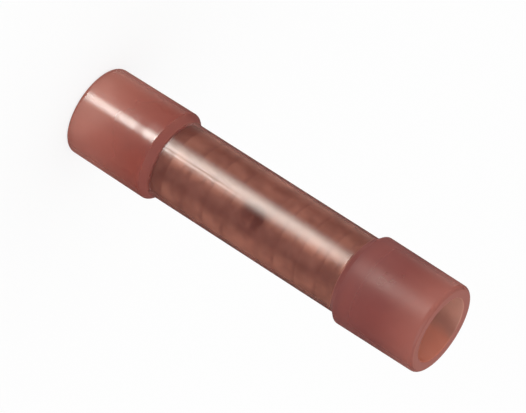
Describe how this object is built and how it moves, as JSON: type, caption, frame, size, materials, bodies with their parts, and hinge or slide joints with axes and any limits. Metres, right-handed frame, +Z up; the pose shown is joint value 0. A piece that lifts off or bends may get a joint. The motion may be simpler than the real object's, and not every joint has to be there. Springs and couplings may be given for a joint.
{
  "type": "butt splice connector",
  "caption": "Insulated butt splice connector: a copper crimp barrel with a centre wire stop inside a translucent pink-red nylon sleeve with a narrower waist and belled mouths.",
  "frame": {"origin": "centre of the lower rim, on the surface that the part stands on", "axes": "+Z up along the wire path from the lower mouth to the upper mouth; the punched wire stop faces -Y"},
  "size_m": [0.0062, 0.0062, 0.0275],
  "materials": {
    "red_nylon": "translucent pinkish-red moulded nylon with a smooth gloss skin",
    "bare_copper": "bare drawn copper, softly bright, with fine lengthwise draw lines"
  },
  "bodies": {
    "root": {"insulating_sleeve": "red_nylon", "crimp_barrel": "bare_copper"}
  },
  "joints": []
}
